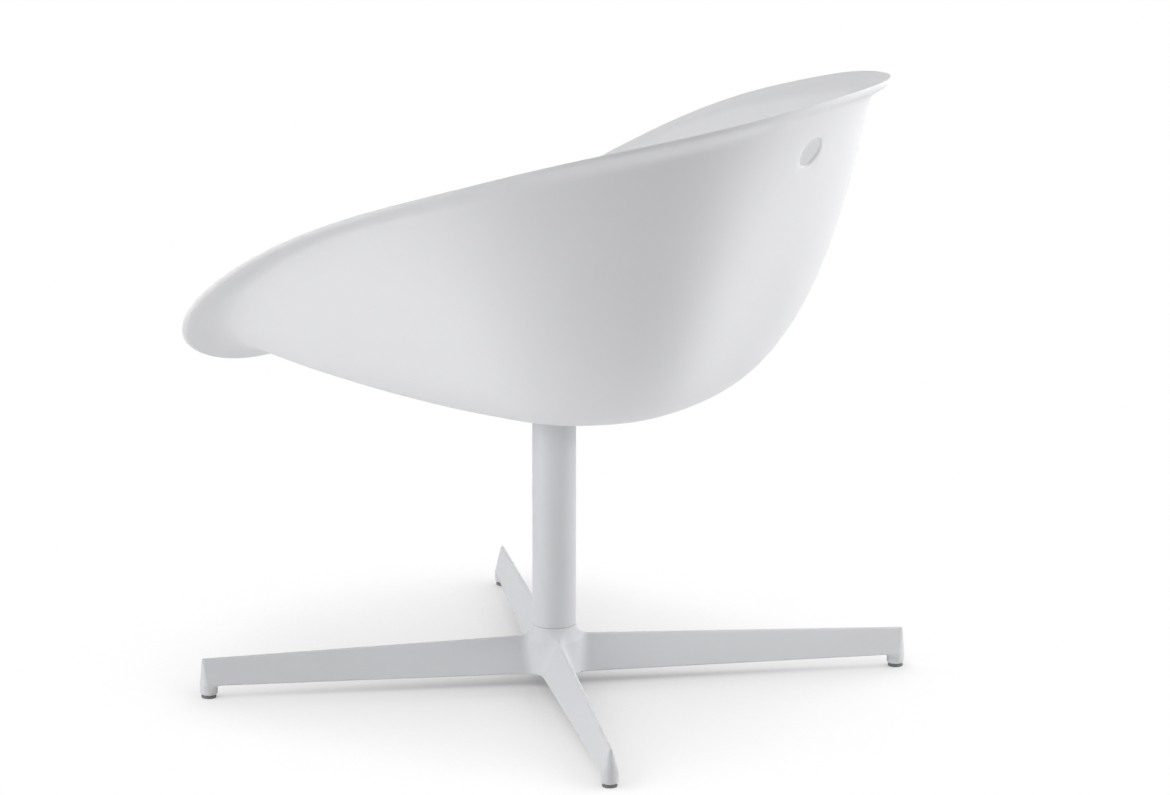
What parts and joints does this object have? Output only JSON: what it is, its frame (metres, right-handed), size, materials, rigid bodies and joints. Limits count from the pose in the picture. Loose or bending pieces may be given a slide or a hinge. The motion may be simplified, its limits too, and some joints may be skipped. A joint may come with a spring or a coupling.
{
  "type": "pedestal swivel lounge chair",
  "caption": "Low lounge chair: a white moulded plastic tub seat with a flared rim, swivelling on a round column over a four-leg star base.",
  "frame": {"origin": "on the swivel axis at floor level, the middle of the four feet", "axes": "+Z up the swivel axis, +Y towards the high back, so the seat faces -Y, and +X to the right seen from above with +Y up"},
  "size_m": [0.7238, 0.7683, 0.713],
  "materials": {
    "shell_plastic": "satin moulded, fine grain",
    "white_paint": "matt white powder coat",
    "steel": "turned",
    "zinc": "zinc plated",
    "brass": "turned",
    "nylon": "natural",
    "acetal": "black",
    "grey_rubber": "matt"
  },
  "bodies": {
    "base": {"star_base": "white_paint", "column_tube": "white_paint", "column_plug": "steel", "upper_bush": "nylon", "lower_bush": "nylon", "thrust_washer": "acetal", "base_washer": "zinc", "base_bolt": "zinc", "glide_1": "grey_rubber", "glide_2": "grey_rubber", "glide_3": "grey_rubber", "glide_4": "grey_rubber"},
    "seat": {"seat_shell": "shell_plastic", "seat_plate": "steel", "spindle": "steel", "shell_insert_1": "brass", "shell_insert_2": "brass", "shell_insert_3": "brass", "shell_insert_4": "brass", "plate_screw_1": "zinc", "plate_screw_2": "zinc", "plate_screw_3": "zinc", "plate_screw_4": "zinc", "retaining_washer": "zinc", "retaining_ring": "steel"}
  },
  "joints": [
    {"name": "seat_swivel", "type": "hinge", "parent": "base", "child": "seat", "pos_m": [0, 0, 0.2], "axis": [0, 0, 1], "continuous": true}
  ]
}
